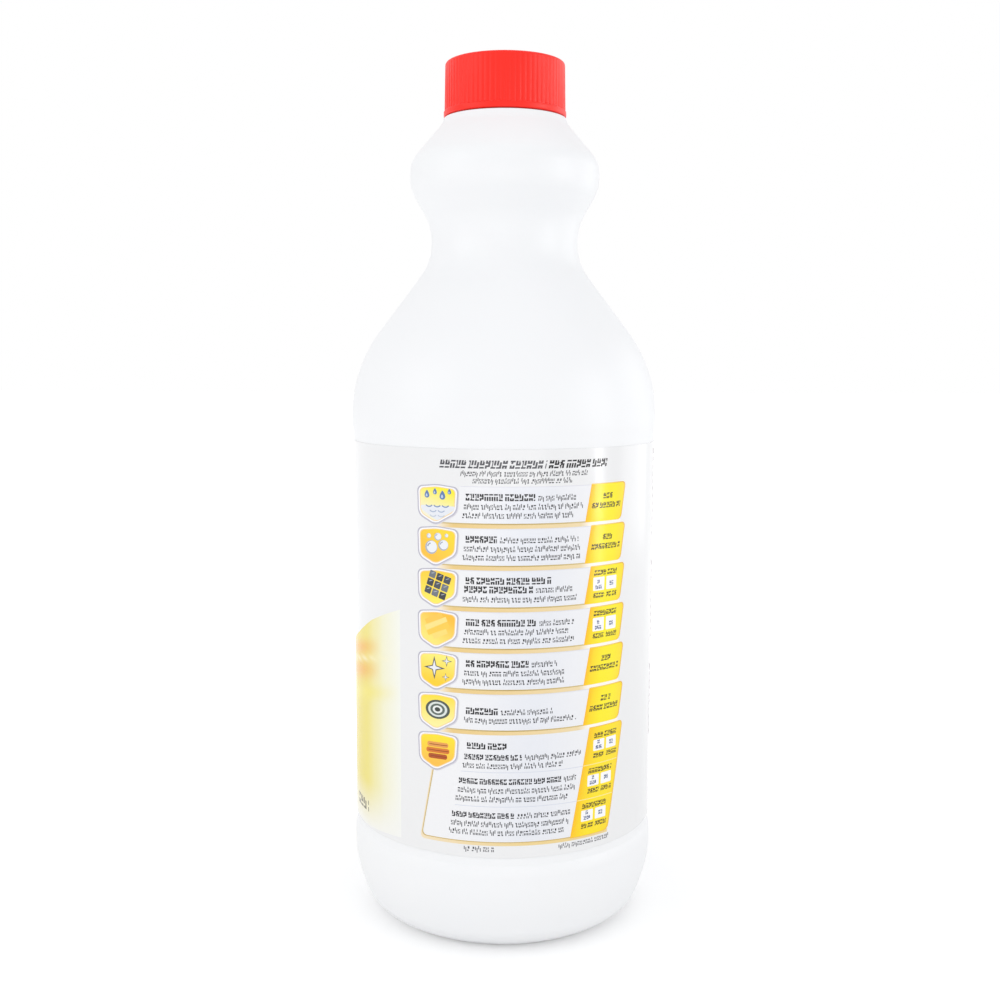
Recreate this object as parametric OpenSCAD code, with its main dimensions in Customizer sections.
// Round blown bottle for liquid bleach, with a grip waist, a wraparound label
// and a ribbed screw cap that holds a foam wad.
// Millimetres, +Z up. The origin is the middle of the base, and the label's front faces -Y.

/* [Bottle body] */
// Largest diameter, over the two bumpers
bumper_d = 95; // [86:0.5:110]
// Wall of the blown shell
wall = 1.1; // [0.8:0.1:1.6]
// How far the label panel lies below the bumpers
recess_depth = 0.7; // [0.5:0.1:1]
// Height over which the recess's edges slope
recess_slope = 1.2; // [0.8:0.1:2.4]
// Height of the recess's lower edge above the base
recess_z = 28.2; // [24:0.1:40]
// Height from the recess's upper edge to where the shoulder breaks inwards
shoulder_start_h = 20.4; // [14:0.1:30]

/* [Base and heel] */
// How far the foot's outer corner stands in from the bumpers
foot_in = 11.2; // [8:0.1:14]
// Width of the flat ring that the bottle stands on, corner to corner
foot_w = 4.6; // [4:0.1:7]
// Radius of the foot's outer corner
foot_round = 6; // [3:0.1:7]
// How far the heel's lower corner stands in from the bumpers
heel_in = 4.35; // [3:0.05:6]
// Height of the heel's lower corner
heel_low_h = 4; // [3:0.1:6]
// Radius of the heel's lower corner
heel_low_round = 10.6; // [6:0.1:14]
// Height of the corner where the heel meets the bumper
heel_top_h = 16.9; // [12:0.1:20]
// Radius of the corner where the heel meets the bumper
heel_top_round = 32; // [15:0.5:45]
// Depth of the push-up at the middle of the base
push_up_h = 4.6; // [3:0.1:8]
// How far the push-up's shoulder stands in from the foot ring
push_up_in = 6; // [4:0.1:10]
// How far the push-up falls from the middle to its shoulder
push_up_fall = 1; // [0.5:0.1:2]
// Height of the pinch-off ridge across the push-up
pinch_h = 0.6; // [0.3:0.1:1]
// Width of the pinch-off ridge
pinch_w = 1.4; // [0.8:0.1:2.5]
// Length of the pinch-off ridge
pinch_len = 46; // [30:1:50]

/* [Shoulder, waist and bulb] */
// Radius of the shoulder's dome
shoulder_round = 43.5; // [25:0.5:50]
// Height of the slope from the shoulder's corner to the waist
shoulder_h = 33.1; // [28:0.1:45]
// Diameter of the grip waist
waist_d = 45.2; // [40:0.1:52]
// Height between the two corners of the waist
waist_h = 10.7; // [8:0.1:18]
// Radius below and above the waist
waist_round = 17.9; // [8:0.1:25]
// Height of the slope from the waist to the bulb
bulb_rise = 11.4; // [9:0.1:16]
// Diameter of the bulb above the waist
bulb_d = 58.3; // [54:0.1:64]
// Height between the two corners of the bulb
bulb_h = 7.8; // [6:0.1:12]
// Radius of the bulb's lower corner
bulb_low_round = 11.9; // [5:0.1:16]
// Radius of the bulb's upper corner
bulb_top_round = 8.6; // [4:0.1:12]
// Height of the slope from the bulb to the collar
neck_slope_h = 11.5; // [10:0.1:16]
// Height of the tapered collar that the cap comes down to
collar_h = 1.8; // [1.2:0.1:3]
// How much wider the collar is at its foot than at its top, on each side
collar_taper = 0.55; // [0.3:0.05:0.9]
// Radius between the slope and the collar
collar_round = 8; // [3:0.1:12]
// Radius of the ledge's edge and of the corner where the neck rises from it
ledge_round = 0.3; // [0.2:0.05:0.5]

/* [Neck finish] */
// Diameter of the neck at the root of its thread
neck_d = 30.1; // [27:0.1:30.6]
// Wall of the neck
neck_wall = 2.4; // [1.8:0.1:3.5]
// Rounding of the mouth's edges
mouth_round = 0.5; // [0.2:0.05:0.8]
// Height that the thread stands out from the neck
thread_depth = 1.1; // [0.8:0.05:1.2]
// Rise of the thread in one turn
thread_pitch = 4.23; // [3.6:0.01:5]
// Turns of thread on the neck
neck_turns = 1.5; // [1.2:0.1:1.8]
// Height from the mouth down to the upper end of the neck's thread
thread_from_mouth = 2.3; // [1.9:0.1:3]

/* [Cap] */
// Height of the cap
cap_h = 16.35; // [15:0.05:20]
// Diameter over the plain rim at the cap's foot
rim_d = 37.6; // [36.8:0.1:42]
// Height of the plain rim
rim_h = 1.7; // [1.2:0.1:3]
// Rounding of the rim's edges
rim_round = 0.5; // [0.3:0.05:0.7]
// How far the ribs lie inside the rim, at their foot
rib_in = 0.25; // [0.15:0.05:0.5]
// Slope of the skirt, in degrees from upright
skirt_draft = 1; // [0.5:0.1:2]
// Number of ribs round the skirt
rib_count = 72; // [48:4:90]
// Depth of the grooves between the ribs
groove_depth = 0.35; // [0.2:0.05:0.4]
// Radius of the grooves between the ribs
groove_round = 0.42; // [0.36:0.02:0.5]
// Rounding of the cap's top edge
top_round = 1.9; // [1:0.1:2.5]
// Thickness of the cap's top
top_t = 1.5; // [1:0.1:2]
// Gap between the cap's foot and the bottle's collar
foot_gap = 0.3; // [0.2:0.05:0.6]
// Turns of thread inside the cap
cap_turns = 1.25; // [1:0.05:1.3]
// Radial gap between the crest of one thread and the wall it faces
thread_gap = 0.4; // [0.3:0.05:0.5]
// Gap along the axis between the flanks that bear on each other
flank_gap = 0.3; // [0.25:0.05:0.4]
// Depth of the gate mark in the middle of the cap's top
gate_depth = 0.25; // [0.1:0.05:0.5]
// Diameter of the gate mark
gate_d = 3; // [2:0.5:5]

/* [Wad] */
// Thickness of the foam wad under the cap's top
wad_t = 0.7; // [0.5:0.1:1.6]
// Radial gap round the wad
wad_gap = 0.2; // [0.1:0.05:0.3]
// Height of the bead that keeps the wad in the cap
bead_depth = 0.45; // [0.35:0.05:0.6]

/* [Label] */
// Height of the wraparound label
label_h = 118.5; // [90:0.5:140]
// Thickness of the label
label_t = 0.12; // [0.08:0.01:0.2]
// Gap between the label's lower edge and the recess's lower edge
label_low_gap = 3.2; // [1.5:0.1:5]
// Gap between the label's upper edge and the recess's upper edge
label_top_gap = 1.35; // [1.2:0.05:5]
// Slack between the label and the panel behind it
label_gap = 0.15; // [0.1:0.01:0.25]
// Width of the lap where the label's ends overlap
lap_w = 9; // [5:0.5:15]
// Direction of the lap seen from above, in degrees from +X
lap_at = 96; // [60:1:120]

/* [Hidden] */
$fa = 4;
$fs = 0.4;
// Farthest that a chord of an outline's arc may lie from the arc, and its widest angle
arc_error = 0.04;
arc_max = 22.5;
// How far a cutting shape runs past what it cuts
past = 0.5;

// Radii of the body
bumper_r = bumper_d / 2;
panel_r = bumper_r - recess_depth;
foot_r = bumper_r - foot_in;
ring_r = foot_r - foot_w;
waist_r = waist_d / 2;
bulb_r = bulb_d / 2;
rim_r = rim_d / 2;
collar_r = rim_r;

// Heights from the base up
recess_top = recess_z + label_low_gap + label_h + label_top_gap;
shoulder_z = recess_top + shoulder_start_h;
waist_z = shoulder_z + shoulder_h;
waist_top = waist_z + waist_h;
bulb_z = waist_top + bulb_rise;
bulb_top = bulb_z + bulb_h;
collar_z = bulb_top + neck_slope_h;
ledge_z = collar_z + collar_h;
cap_z = ledge_z + foot_gap;
ceiling_h = cap_h - top_t;
mouth_z = cap_z + ceiling_h - wad_t;

// Radii of the neck and the cap
neck_r = neck_d / 2;
bore_r = neck_r - neck_wall;
crest_r = neck_r + thread_depth;
cap_bore_r = crest_r + thread_gap;
cap_crest_r = neck_r + thread_gap;
rib_r = rim_r - rib_in;
rib_foot_h = rim_h + rib_in;
rib_top_r = rib_r - (cap_h - rib_foot_h) * tan(skirt_draft);

// Section of both threads: width at the root and at the crest, as shares of the pitch
thread_root_w = 0.5 * thread_pitch;
thread_crest_w = 0.22 * thread_pitch;
// Angle over which a thread fades in, the share of its section that it starts with,
// how deep its foot is sunk into the wall, and the angle from one section to the next
thread_lead = 35;
thread_start = 0.08;
thread_sunk = 0.5;
thread_step = 10;

// Half the width of a thread at a share of its depth, from root 0 to crest 1
function half_w(share) = (thread_root_w + (thread_crest_w - thread_root_w) * share) / 2;

// The flanks come closest where the cap's crest passes the neck's root and the other way round
crest_share = thread_gap / thread_depth;
flank_reach = half_w(crest_share) + half_w(1);
cap_thread_drop = flank_reach + flank_gap;

// An outline is a list of [r, z, radius of the corner]
function flat(a) = [a[0], a[1]];
function side(a, b) = flat(b) - flat(a);
function along(a, b) = side(a, b) / norm(side(a, b));
function left_of(v) = [-v[1], v[0]];
// Angle that the outline turns at corner i, positive to the left
function turn(p, i) =
    let (u = along(p[i - 1], p[i]), v = along(p[i], p[i + 1]))
    atan2(u[0] * v[1] - u[1] * v[0], u * v);
// Length that corner i's rounding takes off each of its sides
function reach(p, i) = i < 1 || i > len(p) - 2 ? 0 : p[i][2] * tan(abs(turn(p, i)) / 2);
// Share of that length that the side from i to i + 1 has room for
function room(p, i) = min(1, 0.98 * norm(side(p[i], p[i + 1])) / max(reach(p, i) + reach(p, i + 1), 0.01));
// Widest angle of a chord on an arc of radius r
function chord(r) = min(arc_max, 2 * acos(1 - min(1, arc_error / r)));
// Points of corner i once it is rounded, or the corner itself where it stays sharp
function corner(p, i) =
    let (a = turn(p, i), used = reach(p, i) * min(room(p, i - 1), room(p, i)))
    used < 0.01 ? [flat(p[i])] :
    let (
        u = along(p[i - 1], p[i]),
        r = used / tan(abs(a) / 2),
        start = flat(p[i]) - used * u,
        centre = start + sign(a) * r * left_of(u),
        from = atan2(start[1] - centre[1], start[0] - centre[0]),
        steps = max(2, ceil(abs(a) / chord(r)))
    )
    [for (k = [0:steps]) centre + r * [cos(from + a * k / steps), sin(from + a * k / steps)]];
function rounded(p) =
    concat([flat(p[0])], [for (i = [1:len(p) - 2]) each corner(p, i)], [flat(p[len(p) - 1])]);

// The same outline moved to its left by t, with its corners' radii changed to suit
function inset(p, t) = [
    for (i = [0:len(p) - 1])
        let (
            u = along(p[max(i - 1, 0)], p[max(i, 1)]),
            v = along(p[min(i, len(p) - 2)], p[min(i + 1, len(p) - 1)]),
            m = (left_of(u) + left_of(v)) / (1 + u * v),
            a = i < 1 || i > len(p) - 2 ? 0 : turn(p, i)
        )
        [p[i][0] + t * m[0], p[i][1] + t * m[1], max(0, p[i][2] - sign(a) * t)]
];
function reversed(list) = [for (i = [len(list) - 1:-1:0]) list[i]];

// Outside of the blown body, from the middle of the base to the upper corner of the bulb
push_up_r = ring_r - push_up_in;
push_up_edge_h = push_up_h - push_up_fall;
body_outline = [
    [0, push_up_h, 0],
    [push_up_r, push_up_edge_h, push_up_in],
    [ring_r, 0, foot_w / 2],
    [foot_r, 0, foot_round],
    [bumper_r - heel_in, heel_low_h, heel_low_round],
    [bumper_r, heel_top_h, heel_top_round],
    [bumper_r, recess_z - recess_slope / 2, recess_slope],
    [panel_r, recess_z + recess_slope / 2, recess_slope],
    [panel_r, recess_top - recess_slope / 2, recess_slope],
    [bumper_r, recess_top + recess_slope / 2, recess_slope],
    [bumper_r, shoulder_z, shoulder_round],
    [waist_r, waist_z, waist_round],
    [waist_r, waist_top, waist_round],
    [bulb_r, bulb_z, bulb_low_round],
    [bulb_r, bulb_top, bulb_top_round]
];

// Collar, ledge and neck above it, up to the mouth
neck_outline = [
    [collar_r + collar_taper, collar_z, collar_round],
    [collar_r, ledge_z, ledge_round],
    [neck_r, ledge_z, ledge_round],
    [neck_r, mouth_z, mouth_round],
    [bore_r, mouth_z, mouth_round]
];

// Inside of the shell: the body's wall, then the slope carried on until it meets the bore
inner_body = inset(concat(body_outline, [neck_outline[0]]), wall);
inner_last = inner_body[len(body_outline) - 1];
inner_slope = along(inner_last, inner_body[len(body_outline)]);
bore_z = inner_last[1] + (bore_r - inner_last[0]) * inner_slope[1] / inner_slope[0];
inner_outline = concat(
    [for (i = [0:len(body_outline) - 1]) inner_body[i]],
    [[bore_r, bore_z, collar_round]]
);

// Section of the cap, from the middle of its underside round the skirt to the middle of its top
bead_z = ceiling_h - wad_t - bead_depth;
cap_outline = [
    [0, ceiling_h, 0],
    [cap_bore_r, ceiling_h, wad_gap],
    [cap_bore_r, bead_z + bead_depth, 0],
    [cap_bore_r - bead_depth, bead_z, bead_depth / 2],
    [cap_bore_r, bead_z - bead_depth, 0],
    [cap_bore_r, 0, rim_round / 2],
    [rim_r, 0, rim_round],
    [rim_r, rim_h, rim_round],
    [rib_r, rib_foot_h, rib_in],
    [rib_top_r, cap_h, top_round],
    [gate_d / 2, cap_h, 0],
    [gate_d / 2 - gate_depth, cap_h - gate_depth, 0],
    [0, cap_h - gate_depth, 0]
];

// A thread that stands out from root_at to crest_at and rises through turns.
// Its section fades in over the lead at each end, and its foot is sunk into the wall.
module thread(root_at, crest_at, turns) {
    out = sign(crest_at - root_at);
    rings = ceil(turns * 360 / thread_step);
    points = [
        for (k = [0:rings])
            let (
                at = turns * 360 * k / rings,
                full = max(thread_start, min(1, at / thread_lead, (turns * 360 - at) / thread_lead)),
                z = thread_pitch * at / 360,
                foot = root_at - out * thread_sunk,
                tip = root_at + (crest_at - root_at) * full,
                wide = thread_root_w / 2 * full,
                narrow = thread_crest_w / 2 * full
            )
            each [
                for (q = [[foot, -wide], [tip, -narrow], [tip, narrow], [foot, wide]])
                    [q[0] * cos(at), q[0] * sin(at), z + q[1]]
            ]
    ];
    // Two triangles on each of the four sides between one ring and the next
    skin = [
        for (k = [0:rings - 1], s = [0:3])
            let (a = 4 * k + s, b = 4 * k + (s + 1) % 4)
            each [[a, a + 4, b], [b, a + 4, b + 4]]
    ];
    ends = [[0, 1, 2], [0, 2, 3], [4 * rings + 2, 4 * rings + 1, 4 * rings], [4 * rings + 3, 4 * rings + 2, 4 * rings]];
    faces = concat(skin, ends);
    polyhedron(points = points, faces = out < 0 ? faces : [for (f = faces) reversed(f)]);
}

// Ridge across the push-up, where the mould's halves pinched the hot tube shut
module pinch_off() {
    intersection() {
        rotate_extrude()
            polygon([
                [0, push_up_h + wall / 2],
                [0, push_up_h - pinch_h],
                [push_up_r, push_up_edge_h - pinch_h],
                [push_up_r, push_up_edge_h + wall / 2]
            ]);
        translate([-pinch_len / 2, -pinch_w / 2, 0])
            cube([pinch_len, pinch_w, push_up_h + wall]);
    }
}

// One blown piece: shell, collar and threaded neck
module bottle() {
    color("#f4f5f7") {
        rotate_extrude()
            polygon(concat(rounded(concat(body_outline, neck_outline, [inner_outline[len(inner_outline) - 1]])),
                reversed(rounded(inner_outline))));
        translate([0, 0, mouth_z - thread_from_mouth - neck_turns * thread_pitch])
            thread(neck_r, crest_r, neck_turns);
        pinch_off();
    }
}

// Film label round the recessed panel, with its ends lapped at the back
module label() {
    inner = panel_r + label_gap;
    outer = inner + label_t;
    lap_angle = lap_w / outer * 180 / PI;
    lap_sunk = label_t / 2;
    color("#f3f2ea") translate([0, 0, recess_z + label_low_gap]) {
        difference() {
            cylinder(r = outer, h = label_h);
            translate([0, 0, -past]) cylinder(r = inner, h = label_h + 2 * past);
        }
        rotate([0, 0, lap_at - lap_angle / 2])
            rotate_extrude(angle = lap_angle)
                translate([outer - lap_sunk, 0]) square([lap_sunk + label_t, label_h]);
    }
}

// Foam wad that seals the mouth, kept in the cap by the bead
module wad() {
    color("#e9e7df") translate([0, 0, mouth_z])
        cylinder(r = cap_bore_r - wad_gap, h = wad_t);
}

// Round grooves that leave the ribs standing, leaning with the skirt
module grooves() {
    for (i = [0:rib_count - 1])
        rotate([0, 0, i * 360 / rib_count])
            translate([rib_r - groove_depth + groove_round, 0, rib_foot_h])
                rotate([0, -skirt_draft, 0])
                    cylinder(r = groove_round, h = cap_h, $fn = 24);
}

// Moulded screw cap, its thread meshed with the neck's at rest
module cap() {
    color("#ff3b2e") {
        translate([0, 0, cap_z]) difference() {
            rotate_extrude() polygon(rounded(cap_outline));
            grooves();
        }
        translate([0, 0, mouth_z - thread_from_mouth - cap_thread_drop - cap_turns * thread_pitch])
            rotate([0, 0, (neck_turns - cap_turns) * 360])
                thread(cap_bore_r, cap_crest_r, cap_turns);
    }
}

bottle();
label();
wad();
cap();
